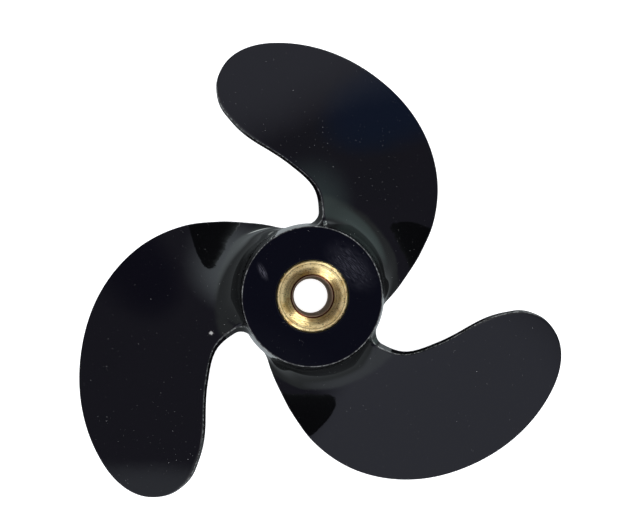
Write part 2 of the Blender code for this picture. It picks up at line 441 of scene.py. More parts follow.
# %% Hub skin round one foot
SIDE_COLUMNS = 18
END_ROWS = 7
RIM_EVENNESS = 0.6
FORWARD_ROUND = 1.5 * MM
AFT_ROUND = 0.5 * MM
SKIN_LOW = FORWARD_Z + FORWARD_ROUND
SKIN_HIGH = AFT_Z - AFT_ROUND
CORNER = INNER_ROWS + ROUND_STEPS // 2


def mix(first, last, steps):
    """Straight rows from one line of points to another: (1 - s) times first plus s last."""
    share = np.linspace(0, 1, steps + 1).reshape(-1, *[1] * first.ndim)
    return first * (1 - share) + last * share


def skin_patches():
    """Four grids of (unwound angle, height), and their lines on the two rims."""
    loop = np.stack([foot_angle - foot_height / RISE, foot_height], 1)
    loop = np.concatenate([loop, loop])
    face_side = loop[2 * LINE - 2 - CORNER:2 * LINE - 1 + CORNER][::-1]
    back_side = loop[LINE - 1 - CORNER:LINE + CORNER]
    leading_end = loop[CORNER:LINE - CORNER]
    trailing_end = loop[LINE - 1 + CORNER:2 * LINE - 1 - CORNER][::-1]
    middle = (loop[:, 0].min() + loop[:, 0].max()) / 2
    seam_height = (face_side[:, 1] + back_side[:, 1]) / 2
    half_turn = TURN / BLADES / 2
    left_seam = np.stack([np.full_like(seam_height, middle - half_turn), seam_height], 1)
    right_seam = left_seam + (2 * half_turn, 0)
    left = mix(left_seam, face_side, SIDE_COLUMNS)
    right = mix(back_side, right_seam, SIDE_COLUMNS)
    patches = [left, right]
    rims = []
    for end, row, level in ((leading_end, 0, SKIN_LOW), (trailing_end, -1, SKIN_HIGH)):
        line = np.concatenate([left[:-1, row], end, right[1:, row]])
        even = np.linspace(middle - half_turn, middle + half_turn, len(line))
        angle = line[:, 0] * (1 - RIM_EVENNESS) + even * RIM_EVENNESS
        rim = np.stack([angle, np.full(len(line), level)], 1)
        patches.append(mix(line, rim, END_ROWS))
        rims.append(rim[:, 0] + level / RISE)
    return patches, rims


skin, (forward_rim, aft_rim) = skin_patches()
print("skin patches:", [patch.shape[:2] for patch in skin])

# %% [markdown]
# The ends of the hub, the pocket for the rubber and the hole for the brass are turned
# shapes. They are one outline in radius and height whose corners are rounded, carried
# round on the columns that the skin's rims already have. Short guard steps beside each
# round keep the flat faces flat where light glides over them.

# %% Turned outlines with rounded corners
CORNER_STEPS = 5
GUARD = 0.25 * MM
LONGEST_STEP = 3 * MM


def rounded_outline(corners, closed=False):
    """Outline through (radius, height, round) corners, each rounded by a parabola.

    The parabola (1 - s)^2 a + 2 s (1 - s) b + s^2 c runs from the point a, its round
    before the corner b, to the point c, its round after it.
    """
    corners = np.array(corners, float)
    ends = corners if closed else corners[1:-1]
    before = np.roll(corners, 1, 0) if closed else corners[:-2]
    after = np.roll(corners, -1, 0) if closed else corners[2:]
    share = np.linspace(0, 1, CORNER_STEPS + 1)[:, None]
    places = [] if closed else [corners[:1, :2]]
    for a, b, c in zip(before, ends, after):
        back = (a - b)[:2] / np.linalg.norm((a - b)[:2])
        on = (c - b)[:2] / np.linalg.norm((c - b)[:2])
        start, stop = b[:2] + back * b[2], b[:2] + on * b[2]
        curve = (1 - share) ** 2 * start + 2 * share * (1 - share) * b[:2] + share**2 * stop
        places += [start[None] + back * GUARD, curve, stop[None] + on * GUARD]
    places += [places[0][:1]] if closed else [corners[-1:, :2]]
    return split_long_steps(np.concatenate(places))


def split_long_steps(outline):
    """The same outline with extra points, so that no step is longer than the limit."""
    pieces = []
    for a, b in zip(outline, outline[1:]):
        count = max(1, math.ceil(np.linalg.norm(b - a) / LONGEST_STEP))
        pieces.append(mix(a, b, count)[:-1])
    return np.concatenate([*pieces, outline[-1:]])


square_corner = rounded_outline([(0, 0, 0), (9 * MM, 0, 1 * MM), (9 * MM, 9 * MM, 0)])
print("points on a test corner:", len(square_corner))

# %% [markdown]
# From underneath, the hub is a ring to stand on, with a deep pocket for the rubber. From
# aft, it is a flat face with a hole for the brass. The casting is machined there, so its
# corners are nearly sharp, but none is a perfect edge.

# %% Ends of the hub, its pocket and its hole
POCKET_RADIUS = 20 * MM
POCKET_ROOF = AFT_Z - 8 * MM
POCKET_ROUND = 0.4 * MM
MOUTH_CHAMFER = 1 * MM
MACHINED_ROUND = 0.2 * MM
HOLE_ROUND = 0.15 * MM
FIT_GAP = 0.3 * MM
SLEEVE_RADIUS = brass_high.x
HOLE_RADIUS = SLEEVE_RADIUS + FIT_GAP


def hub_ends():
    """Rows of (radius, angle, height) from the forward rim, through the pocket and the
    hole, to the aft rim of the next third, whose columns carry on from these."""
    outline = rounded_outline([
        (hub_radius(SKIN_LOW), SKIN_LOW, 0),
        (hub_radius(FORWARD_Z), FORWARD_Z, FORWARD_ROUND - GUARD),
        (POCKET_RADIUS + MOUTH_CHAMFER, FORWARD_Z, MACHINED_ROUND),
        (POCKET_RADIUS, FORWARD_Z + MOUTH_CHAMFER, MACHINED_ROUND),
        (POCKET_RADIUS, POCKET_ROOF, POCKET_ROUND),
        (HOLE_RADIUS, POCKET_ROOF, MACHINED_ROUND),
        (HOLE_RADIUS, AFT_Z, HOLE_ROUND),
        (HUB_RADII[-1], AFT_Z, AFT_ROUND - GUARD),
        (hub_radius(SKIN_HIGH), SKIN_HIGH, 0),
    ])
    angles = mix(forward_rim, aft_rim - TURN / BLADES, len(outline) - 1)
    radii = np.broadcast_to(outline[:, :1], angles.shape)
    heights = np.broadcast_to(outline[:, 1:], angles.shape)
    return np.stack([radii, angles, heights])


ends = hub_ends()
print("rows round the ends and the pocket:", ends.shape[1])

# %% [markdown]
# A grid of points becomes a mesh by joining each square's four corners. Grids that share
# a border are sewn by merging the points that lie in the same place, and a count of open
# edges shows whether the skin is closed.

# %% From grids to one closed piece
MERGE = 0.002 * MM


def to_points(radius, angle, height):
    """Points at radius times cosine, radius times sine, and height."""
    return np.stack([radius * np.cos(angle), radius * np.sin(angle), height], -1)


def grid_faces(rows, columns, first):
    """Corners of every square of a grid, counted row by row from the first point."""
    corner = first + np.arange(rows * columns).reshape(rows, columns)
    around = [corner[:-1, :-1], corner[:-1, 1:], corner[1:, 1:], corner[1:, :-1]]
    return np.stack(around, -1).reshape(-1, 4)


def turned_points(points, angle):
    """Points turned about the shaft axis."""
    cosine, sine = math.cos(angle), math.sin(angle)
    return points @ np.array([[cosine, sine, 0], [-sine, cosine, 0], [0, 0, 1]])


def sewn_mesh(name, grids, edge_distances=None):
    """One closed mesh of grids whose shared border points are merged."""
    faces, first = [], 0
    for grid in grids:
        faces.append(grid_faces(*grid.shape[:2], first))
        first += grid.shape[0] * grid.shape[1]
    points = np.concatenate([grid.reshape(-1, 3) for grid in grids])
    mesh = bpy.data.meshes.new(name)
    mesh.from_pydata(points, [], np.concatenate(faces).tolist())
    if edge_distances is not None:
        layer = mesh.attributes.new("edge_mm", "FLOAT", "POINT")
        layer.data.foreach_set("value", np.concatenate(edge_distances).astype(np.float32))
    maker = bmesh.new()
    maker.from_mesh(mesh)
    bmesh.ops.remove_doubles(maker, verts=maker.verts, dist=MERGE)
    bmesh.ops.recalc_face_normals(maker, faces=maker.faces)
    open_edges = sum(not edge.is_manifold for edge in maker.edges)
    maker.to_mesh(mesh)
    maker.free()
    mesh.shade_smooth()
    print(name, "triangles:", sum(len(face.vertices) - 2 for face in mesh.polygons),
          "open edges:", open_edges)
    return mesh


def add_piece(name, mesh, node):
    """Link a mesh as a piece that stands for its node and rides on the one body."""
    piece = bpy.data.objects.new(name, mesh)
    bpy.context.scene.collection.objects.link(piece)
    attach(piece, "root")
    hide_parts(node)
    return piece


print("points closer than this are merged, in mm:", round(MERGE / MM, 4))

# %% [markdown]
# Every grid of the casting is now turned into points, repeated for the three blades and
# sewn into one closed skin. The skin also carries a number at each point, the distance
# from the edge that takes the knocks: the trailing side of a blade, its tip and the
# hub's aft rim. The paint reads it to wear thin there and to carry a painted highlight,
# a thin light line that stands in for the light caught by the edge's round. The leading
# side keeps its paint and has no line, so its distance starts past the reach of both.

# %% Sew the casting together
# Offset that keeps the leading side clear of the worn paint and of the painted highlight line.
WEAR_AND_HIGHLIGHT_REACH = 0.5 * MM
TIP_COLUMNS = 12


def casting_grids():
    """All grids of the casting as points, with each point's distance from an edge."""
    angle, height = move_square(
        grid_radius, grid_angle, face_height(grid_angle), 0.0, -grid_depth)
    blade = to_points(grid_radius, angle, height)
    root = to_points(*np.concatenate([root_rows, root_rows[:, :, :1]], 2))
    edge = half_rows - 1
    blade_gap = np.linalg.norm(blade - blade[:, edge:edge + 1], axis=2)
    blade_gap[:EDGE_COLUMNS - TIP_COLUMNS] += WEAR_AND_HIGHLIGHT_REACH
    root_gaps = [np.linalg.norm(root - root[:, k:k + 1], axis=2) for k in (edge, -1 - edge)]
    root_gaps[0] += WEAR_AND_HIGHLIGHT_REACH
    third = [blade, root]
    gaps = [blade_gap, np.minimum(*root_gaps)]
    for patch in skin:
        level = patch[..., 1]
        third.append(to_points(hub_radius(level), patch[..., 0] + level / RISE, level))
    third.append(to_points(*ends))
    rim_radius, rim_height = HUB_RADII[-1], AFT_Z
    for grid in third[2:]:
        outside = np.hypot(grid[..., 0], grid[..., 1]) - rim_radius
        gaps.append(np.hypot(outside, grid[..., 2] - rim_height))
    grids = [turned_points(grid, k * TURN / BLADES) for k in range(BLADES) for grid in third]
    return grids, [gap.ravel() / MM for gap in gaps] * BLADES


grids, distances = casting_grids()
casting_mesh = sewn_mesh("propeller_casting_skin", grids, distances)
casting = add_piece("enamelled_propeller", casting_mesh, "propeller_casting")

# %% [markdown]
# The brass sleeve is turned on a lathe: a flat end, a conical seat that guides the nut's
# washer, a small chamfer at each corner and a plain bore. Use has worn the seat's upper
# edge to a soft round. A turned shape is one outline carried round the axis, so it is
# made from the same rounded outline as the hub's ends.

# %% Turned brass sleeve and rubber ring
SEAT_RADIUS = 10.6 * MM
SEAT_DEPTH = 2.4 * MM
SEAT_ROUND = 1.5 * MM
BORE_RADIUS = 7.5 * MM
BORE_EDGE = 0.5 * MM
SLEEVE_EDGE = 0.4 * MM
LATHE_ROUND = 0.1 * MM
RUBBER_EDGE = 1 * MM
RUBBER_MOUTH = 0.5 * MM
ROUND_COLUMNS = 160


def turned_grid(corners):
    """Closed outline carried round the shaft axis, as one grid whose ends meet."""
    outline = rounded_outline(corners, closed=True)
    angle = np.linspace(0, TURN, ROUND_COLUMNS + 1)[:, None]
    radius = outline[:, 0] + 0 * angle
    height = outline[:, 1] + 0 * angle
    return to_points(radius, angle, height)


def make_sleeve():
    """Brass sleeve: seat at the aft end, bore, and chamfered ends."""
    low, high = brass_low.z, brass_high.z
    corners = [
        (SEAT_RADIUS, high, SEAT_ROUND),
        (SLEEVE_RADIUS - SLEEVE_EDGE, high, LATHE_ROUND),
        (SLEEVE_RADIUS, high - SLEEVE_EDGE, LATHE_ROUND),
        (SLEEVE_RADIUS, low + SLEEVE_EDGE, LATHE_ROUND),
        (SLEEVE_RADIUS - SLEEVE_EDGE, low, LATHE_ROUND),
        (BORE_RADIUS + BORE_EDGE, low, LATHE_ROUND),
        (BORE_RADIUS, low + BORE_EDGE, LATHE_ROUND),
        (BORE_RADIUS, high - SEAT_DEPTH - BORE_EDGE, LATHE_ROUND),
        (BORE_RADIUS + BORE_EDGE, high - SEAT_DEPTH, LATHE_ROUND),
    ]
    mesh = sewn_mesh("turned_sleeve", [turned_grid(corners)])
    return add_piece("turned_brass_sleeve", mesh, "brass_inner_hub")


def make_rubber_ring():
    """Rubber ring: round shouldered at both ends, so that it presses in without a tear."""
    low, high = rubber_low.z, rubber_high.z
    outer, inner = rubber_high.x, SLEEVE_RADIUS + FIT_GAP
    corners = [
        (inner, high, LATHE_ROUND),
        (outer, high, RUBBER_EDGE),
        (outer, low, RUBBER_EDGE),
        (inner, low, RUBBER_MOUTH),
    ]
    mesh = sewn_mesh("rubber_ring", [turned_grid(corners)])
    return add_piece("moulded_rubber_ring", mesh, "rubber_bushing")


sleeve = make_sleeve()
rubber_ring = make_rubber_ring()

# %% [markdown]
# A material is a small graph of nodes. A few helpers keep it short: one turns a colour as
# a paint shop would write it, in sRGB hex, to the linear numbers that the shader adds
# up, and one adds a node with its settings and its links in a single call.

# %% Helpers for materials
def linear(hex_colour):
    """Linear colour of an sRGB hex value: the power 2.4 curve with its straight foot."""
    parts = np.array([int(hex_colour[k:k + 2], 16) / 255 for k in (1, 3, 5)])
    curve = np.where(parts <= 0.04045, parts / 12.92, ((parts + 0.055) / 1.055) ** 2.4)
    return (*curve.tolist(), 1.0)


def add_node(tree, kind, inputs=None, **settings):
    """Add a node. An input is a plain value, or a (node, output name) pair to link."""
    made = tree.nodes.new(kind)
    for name, value in settings.items():
        setattr(made, name, value)
    for name, value in (inputs or {}).items():
        if isinstance(value, tuple) and isinstance(value[0], bpy.types.Node):
            tree.links.new(value[0].outputs[value[1]], made.inputs[name])
        else:
            made.inputs[name].default_value = value
    return made


def new_material(name):
    """An empty material and its node tree."""
    material = bpy.data.materials.new(name)
    material.use_nodes = True
    material.node_tree.nodes.clear()
    return material, material.node_tree


def dress(piece, material):
    """Give a piece its one material, and say how many nodes that has."""
    piece.data.materials.append(material)
    print(piece.name, "wears", material.name, "of nodes:", len(material.node_tree.nodes))


print("white turned to linear:", linear("#ffffff")[:3])

# %% [markdown]
# A used propeller isn't clean black. A washer has rubbed the hub's face, something has
# scuffed it on the left, dust has settled in patches, and the paint is thin or chipped
# along the edges, where a light line is also painted as the edges' highlight. Each kind
# of mark is a mask from 0 to 1, made of noise whose scale is a real size: the width of a
# scratch, a speck of dust or a chip.

# %% Marks on the enamel
# Of each scuff: its place, half its width and half its length, its angle and strength.
WASHER_RUB = ((14 * MM, 11 * MM, 27 * MM), 8 * MM, 14 * MM, math.radians(45), 0.14)
LEFT_SCUFF = ((-18.3 * MM, 9 * MM, 27 * MM), 1.7 * MM, 4.5 * MM, math.radians(27), 0.3)
STREAK_WIDTH = 0.3 * MM
STREAK_LENGTH = 3 * MM
SPECK_SIZE = 0.45 * MM
DUST_PATCH_SIZE = 16 * MM
CHIP_SIZE = 1.2 * MM


def scuff_mask(tree, where, scuff):
    """Fine streaks along a soft oval patch: strongest at its middle, none at its rim."""
    place, width, length, angle, strength = scuff
    local = add_node(tree, "ShaderNodeMapping", {
        "Vector": where, "Location": place, "Rotation": (0.0, 0.0, angle),
        "Scale": (width, length, length)}, vector_type="TEXTURE")
    off = add_node(tree, "ShaderNodeVectorMath", {0: (local, "Vector")}, operation="LENGTH")
    patch = add_node(tree, "ShaderNodeMapRange", {
        "Value": (off, "Value"), "From Min": 1.0, "From Max": 0.1},
        interpolation_type="SMOOTHSTEP")
    grain = add_node(tree, "ShaderNodeVectorMath", {
        0: (local, "Vector"),
        1: (width / STREAK_WIDTH, length / STREAK_LENGTH, length / STREAK_LENGTH)},
        operation="MULTIPLY")
    streaks = add_node(tree, "ShaderNodeTexNoise", {
        "Vector": (grain, "Vector"), "Scale": 1.0, "Detail": 3.0, "Roughness": 0.7})
    streak_mask = add_node(tree, "ShaderNodeMapRange", {
        "Value": (streaks, "Fac"), "From Min": 0.42, "From Max": 0.8, "To Max": strength})
    return add_node(tree, "ShaderNodeMath", {
        0: (patch, "Result"), 1: (streak_mask, "Result")}, operation="MULTIPLY")


def dust_mask(tree, where):
    """Tiny specks, gathered in patches a couple of centimetres across."""
    specks = add_node(tree, "ShaderNodeTexNoise", {
        "Vector": where, "Scale": 1 / SPECK_SIZE, "Detail": 1.0, "Roughness": 0.5})
    speck_mask = add_node(tree, "ShaderNodeMapRange", {
        "Value": (specks, "Fac"), "From Min": 0.78, "From Max": 0.82})
    patches = add_node(tree, "ShaderNodeTexNoise", {
        "Vector": where, "Scale": 1 / DUST_PATCH_SIZE, "Detail": 2.0, "Roughness": 0.6})
    patch_mask = add_node(tree, "ShaderNodeMapRange", {
        "Value": (patches, "Fac"), "From Min": 0.48, "From Max": 0.6, "To Min": 0.1, "To Max": 0.7})
    return add_node(tree, "ShaderNodeMath", {
        0: (speck_mask, "Result"), 1: (patch_mask, "Result")}, operation="MULTIPLY")


def wear_and_highlight_mask(tree, where):
    """Thin paint and chips along the edges, plus a painted highlight line along them,
    where the distance from an edge is a fraction of a millimetre. A fine noise makes the
    line strong in places."""
    edge = add_node(tree, "ShaderNodeAttribute", attribute_name="edge_mm")
    near_edge = add_node(tree, "ShaderNodeMapRange", {
        "Value": (edge, "Fac"), "From Min": 0.1, "From Max": 0.4, "To Min": 1.0, "To Max": 0.0})
    chips = add_node(tree, "ShaderNodeTexNoise", {
        "Vector": where, "Scale": 1 / CHIP_SIZE, "Detail": 4.0, "Roughness": 0.7})
    chip_mask = add_node(tree, "ShaderNodeMapRange", {
        "Value": (chips, "Fac"), "From Min": 0.46, "From Max": 0.68, "To Min": 0.07})
    return add_node(tree, "ShaderNodeMath", {
        0: (near_edge, "Result"), 1: (chip_mask, "Result")}, operation="MULTIPLY")


print("marks: rub, scuff, dust in specks of mm", round(SPECK_SIZE / MM, 2), "and chips")

# %% [markdown]
# The casting is aluminium under gloss black stove enamel. Enamel flows before it sets,
# so the skin has a faint orange peel, a millimetre or two across, over the slow waves
# of the sand casting. Gloss black shows little colour of its own: what the eye sees is
# the room in it. The marks are laid over the black one by one.

# %% Black enamel on cast aluminium
PEEL_SIZE = 1.8 * MM
PEEL_DEPTH = 0.006 * MM
WAVE_SIZE = 14 * MM
WAVE_DEPTH = 0.06 * MM


def enamel_material():
    """Black enamel: dielectric, IOR 1.5, low roughness, with peel, waves and wear."""
    material, tree = new_material("black_stove_enamel")
    place = add_node(tree, "ShaderNodeTexCoord")
    where = (place, "Object")
    peel = add_node(tree, "ShaderNodeTexNoise", {
        "Vector": where, "Scale": 1 / PEEL_SIZE, "Detail": 2.0, "Roughness": 0.5})
    waves = add_node(tree, "ShaderNodeTexNoise", {
        "Vector": where, "Scale": 1 / WAVE_SIZE, "Detail": 2.0, "Roughness": 0.4})
    colour = linear("#040405")
    marks = (
        (scuff_mask(tree, where, WASHER_RUB), "#9a9aa8"),
        (scuff_mask(tree, where, LEFT_SCUFF), "#9a9aa8"),
        (dust_mask(tree, where), "#d8d8d8"),
        # Light grey along the edges: worn paint and chips, and a painted highlight line.
        (wear_and_highlight_mask(tree, where), "#8a8c8a"),
    )
    for mask, mark in marks:
        colour = (add_node(tree, "ShaderNodeMix", {
            "Factor": (mask, "Value"), 6: colour, 7: linear(mark)}, data_type="RGBA"), 2)
    peel_bump = add_node(tree, "ShaderNodeBump", {
        "Height": (peel, "Fac"), "Strength": 1.0, "Distance": PEEL_DEPTH})
    wave_bump = add_node(tree, "ShaderNodeBump", {
        "Height": (waves, "Fac"), "Strength": 1.0, "Distance": WAVE_DEPTH,
        "Normal": (peel_bump, "Normal")})
    shader = add_node(tree, "ShaderNodeBsdfPrincipled", {
        "Base Color": colour, "Roughness": 0.03, "IOR": 1.5,
        "Normal": (wave_bump, "Normal")})
    add_node(tree, "ShaderNodeOutputMaterial", {"Surface": (shader, "BSDF")})
    return material


dress(casting, enamel_material())

# %% [markdown]
# Years of use leave dull and coppery patches on brass, dark lines in the tool's rings and
# pits. Painted shade darkens the seat, and a dark red painted shade and reflection lies
# where the seat meets the bore. The bore is duller inside. Each stain or shade reads a
# noise or the distance from the axis, and is laid over the last one.

# %% Stains on the brass
# Where the seat's painted shade starts and where it is full.
SEAT_SHADE_START = 11.2 * MM
SEAT_SHADE_FULL = 10.2 * MM
# Where the painted dark red shade round the bore's mouth starts, and how it blends in.
SEAT_FOOT = 8.15 * MM
RIM_BLEND = 0.1 * MM
BORE_TOP = 7.6 * MM
BORE_BLEND = 0.05 * MM
TARNISH_SIZE = 5 * MM
COPPER_SIZE = 4 * MM
PIT_SIZE = 0.6 * MM


def brass_colour(tree, where, radius, rings):
    """Bright brass under its stains and painted shade, laid one over the other: dull and
    coppery patches, a painted shade darkening the seat, dark lines in the tool's rings,
    pits, a painted dark red shade where the seat meets the bore, and the duller bore."""
    tarnish = add_node(tree, "ShaderNodeTexNoise", {
        "Vector": where, "Scale": 1 / TARNISH_SIZE, "Detail": 5.0, "Roughness": 0.65})
    copper = add_node(tree, "ShaderNodeTexNoise", {
        "Vector": where, "W": 3.0, "Scale": 1 / COPPER_SIZE, "Detail": 3.0, "Roughness": 0.6},
        noise_dimensions="4D")
    pits = add_node(tree, "ShaderNodeTexNoise", {
        "Vector": where, "Scale": 1 / PIT_SIZE, "Detail": 2.0, "Roughness": 0.6})
    # Of each stain or painted shade: what it reads, where it starts and is full, its strength and
    # colour.
    stains = (
        ((tarnish, "Fac"), 0.46, 0.7, 1.0, "#c6a258"),
        ((copper, "Fac"), 0.55, 0.72, 0.7, "#b0703c"),
        # Painted shade: the conical seat darkened, for the dark room that it mirrors.
        ((radius, "Value"), SEAT_SHADE_START, SEAT_SHADE_FULL, 0.35, "#7e5a22"),
        ((rings, "Fac"), 0.5, 0.3, 0.7, "#54401c"),
        ((pits, "Fac"), 0.6, 0.66, 0.8, "#2e2113"),
        # Painted shade and reflection: dark red-brown where the seat meets the bore.
        ((radius, "Value"), SEAT_FOOT, SEAT_FOOT - RIM_BLEND, 1.0, "#44160e"),
        # Inside the bore the colour turns a duller grey-brown.
        ((radius, "Value"), BORE_TOP, BORE_TOP - BORE_BLEND, 1.0, "#a08a70"),
    )
    colour = linear("#fae4a6")
    for value, start, full, most, stain in stains:
        mask = add_node(tree, "ShaderNodeMapRange", {
            "Value": value, "From Min": start, "From Max": full, "To Max": most})
        colour = (add_node(tree, "ShaderNodeMix", {
            "Factor": (mask, "Result"), 6: colour, 7: linear(stain)}, data_type="RGBA"), 2)
    return colour


print("dirt starts inside the bore, at a radius in mm of:", round(BORE_TOP / MM, 2))

# %% [markdown]
# Brass from the lathe keeps the tool's fine rings. Rings are a noise read along the
# radius plus the height, so they run round the axis on the flat end, the seat and the
# bore alike. The real ones are a tenth of a millimetre apart, too fine to show, so the
# bump draws them coarser, and the shader's anisotropy gives the streak of light that the
# finest ones make. Inside the bore the brass is made rough, duller and hardly a metal.

# %% Turned brass
RING_SPACING = 0.55 * MM
RING_DEPTH = 0.14 * MM
GRAIN_SIZE = 0.5 * MM
GRAIN_DEPTH = 0.06 * MM


def brass_material():
    """Turned brass: a metal with default IOR, anisotropic round the shaft axis."""
    material, tree = new_material("turned_brass")
    place = add_node(tree, "ShaderNodeTexCoord")
    where = (place, "Object")
    flat = add_node(tree, "ShaderNodeVectorMath", {0: where, 1: (1.0, 1.0, 0.0)},
                    operation="MULTIPLY")
    radius = add_node(tree, "ShaderNodeVectorMath", {0: (flat, "Vector")}, operation="LENGTH")
    height = add_node(tree, "ShaderNodeSeparateXYZ", {"Vector": where})
    along = add_node(tree, "ShaderNodeMath", {0: (radius, "Value"), 1: (height, "Z")},
                     operation="ADD")
    rings = add_node(tree, "ShaderNodeTexNoise", {
        "W": (along, "Value"), "Scale": 1 / RING_SPACING, "Detail": 2.0, "Roughness": 0.6},
        noise_dimensions="1D")
    grain = add_node(tree, "ShaderNodeTexNoise", {
        "Vector": where, "Scale": 1 / GRAIN_SIZE, "Detail": 3.0, "Roughness": 0.7})
    grain_bump = add_node(tree, "ShaderNodeBump", {
        "Height": (grain, "Fac"), "Strength": 1.0, "Distance": GRAIN_DEPTH})
    ring_bump = add_node(tree, "ShaderNodeBump", {
        "Height": (rings, "Fac"), "Strength": 1.0, "Distance": RING_DEPTH,
        "Normal": (grain_bump, "Normal")})
    # Inside the bore the brass turns less metallic and rougher.
    dull_bore = add_node(tree, "ShaderNodeMapRange", {
        "Value": (radius, "Value"), "From Min": BORE_TOP,
        "From Max": BORE_TOP - BORE_BLEND})
    metal = add_node(tree, "ShaderNodeMapRange", {
        "Value": (dull_bore, "Result"), "To Min": 1.0, "To Max": 0.3})
    roughness = add_node(tree, "ShaderNodeMapRange", {
        "Value": (dull_bore, "Result"), "To Min": 0.34, "To Max": 0.6})
    round_axis = add_node(tree, "ShaderNodeTangent", direction_type="RADIAL", axis="Z")
    shader = add_node(tree, "ShaderNodeBsdfPrincipled", {
        "Base Color": brass_colour(tree, where, radius, rings), "Metallic": (metal, "Result"),
        "Roughness": (roughness, "Result"), "Anisotropic": 0.6, "Anisotropic Rotation": 0.25,
        "Normal": (ring_bump, "Normal"), "Tangent": (round_axis, "Tangent")})
    add_node(tree, "ShaderNodeOutputMaterial", {"Surface": (shader, "BSDF")})
    return material


dress(sleeve, brass_material())

# %% [markdown]
# The ring is moulded rubber: dull, a little grey with bloom, and finely grained by the
# mould. Only its ends show, from underneath.

# %% Moulded rubber
RUBBER_GRAIN_SIZE = 0.4 * MM
RUBBER_GRAIN_DEPTH = 0.03 * MM
BLOOM_SIZE = 6 * MM


def rubber_material():
    """Moulded black rubber: rough, with a fine grain and grey bloom in soft patches."""
    material, tree = new_material("moulded_rubber")
    place = add_node(tree, "ShaderNodeTexCoord")
    grain = add_node(tree, "ShaderNodeTexNoise", {
        "Vector": (place, "Object"), "Scale": 1 / RUBBER_GRAIN_SIZE, "Detail": 3.0})
    bloom = add_node(tree, "ShaderNodeTexNoise", {
        "Vector": (place, "Object"), "Scale": 1 / BLOOM_SIZE, "Detail": 3.0})
    colour = add_node(tree, "ShaderNodeMix", {
        "Factor": (bloom, "Fac"), 6: linear("#141414"), 7: linear("#2a2928")},
        data_type="RGBA")
    bump = add_node(tree, "ShaderNodeBump", {
        "Height": (grain, "Fac"), "Strength": 1.0, "Distance": RUBBER_GRAIN_DEPTH})
    shader = add_node(tree, "ShaderNodeBsdfPrincipled", {
        "Base Color": (colour, 2), "Roughness": 0.72, "IOR": 1.52,
        "Normal": (bump, "Normal")})
    add_node(tree, "ShaderNodeOutputMaterial", {"Surface": (shader, "BSDF")})
    return material


dress(rubber_ring, rubber_material())

# %% [markdown]
# The propeller lies on a plain white sheet, which is a stage and not a piece. The sheet
# glows a little, as paper on a light table does. It is kept out of the gloss, where the
# dark table of the room stands in for it.

# %% Floor
FLOOR_SIZE = 4000 * MM
FLOOR_GAP = 0.05 * MM
SHEET_GLOW = 0.85


def make_floor():
    """A wide white sheet just under the hub's forward end."""
    half = FLOOR_SIZE / 2
    level = FORWARD_Z - FLOOR_GAP
    turns = ((-1, -1), (1, -1), (1, 1), (-1, 1))
    corners = [(across * half, up * half, level) for across, up in turns]
    mesh = bpy.data.meshes.new("white_sheet")
    mesh.from_pydata(corners, [], [(0, 1, 2, 3)])
    floor = bpy.data.objects.new("white_sheet", mesh)
    bpy.context.scene.collection.objects.link(floor)
    material, tree = new_material("white_paper")
    shader = add_node(tree, "ShaderNodeBsdfPrincipled", {
        "Base Color": linear("#c0c0c0"), "Roughness": 0.9,
        "Emission Color": linear("#ffffff"), "Emission Strength": SHEET_GLOW})
    add_node(tree, "ShaderNodeOutputMaterial", {"Surface": (shader, "BSDF")})
    mesh.materials.append(material)
    floor.visible_glossy = False
    print("floor level in mm:", round(level / MM, 2))


make_floor()

# %% [markdown]
# The camera looks almost straight down on the aft end from about 27 cm above it, which
# is near enough for the blades' far edges to look smaller. It is tilted a few degrees,
# so a little of the hub's side shows. The lens shift is what is left of the framing.

# %% Camera
CAMERA_DISTANCE = 330 * MM
CAMERA_ACROSS = -14.706 * MM
CAMERA_UP = -19.595 * MM
TILT_UP = -0.056
TILT_SIDE = 0.0569
SENSOR = 36.0
FRAME_WIDTH = 641
FRAME_HEIGHT = 526
FOCAL_PIXELS = 737.66
CENTRE_PIXEL = (343.39, 251.88)
NEAREST = 10 * MM


def make_camera():
    """Camera whose axes are the transpose of a turn about X times a turn about Y."""
    ca, sa = math.cos(TILT_UP), math.sin(TILT_UP)
    cb, sb = math.cos(TILT_SIDE), math.sin(TILT_SIDE)
    about_x = np.array([[1, 0, 0], [0, ca, -sa], [0, sa, ca]])
    about_y = np.array([[cb, 0, sb], [0, 1, 0], [-sb, 0, cb]])
    axes = (about_x @ about_y).T
    place = axes @ (-CAMERA_ACROSS, -CAMERA_UP, CAMERA_DISTANCE) + (0, 0, FORWARD_Z)
    data = bpy.data.cameras.new("camera")
    data.sensor_width = SENSOR
    data.lens = FOCAL_PIXELS / FRAME_WIDTH * SENSOR
    data.shift_x = (FRAME_WIDTH / 2 - CENTRE_PIXEL[0]) / FRAME_WIDTH
    data.shift_y = (CENTRE_PIXEL[1] - FRAME_HEIGHT / 2) / FRAME_WIDTH
    data.clip_start = NEAREST
    camera = bpy.data.objects.new("camera", data)
    bpy.context.scene.collection.objects.link(camera)
    camera.location = place
    camera.rotation_euler = Matrix(axes).to_euler()
    bpy.context.scene.camera = camera
    print("camera at mm:", np.round(place / MM, 1))


make_camera()

# %% [markdown]
# Gloss black shows the room and hardly any light of its own, so the room is designed
# first: a dim blue-grey dome with a few soft bright patches, each where a blade, a round
# or the brass looks at it. A patch has a direction, a width and a colour.

# %% Room
ROOM_BASE = (0.155, 0.15, 0.215)
TABLE_COLOUR = (0.19, 0.23, 0.18)
# Height of the direction, from 0 at the horizon to 1, where the table starts and is full.
TABLE_EDGE = (0.3, 0.24)
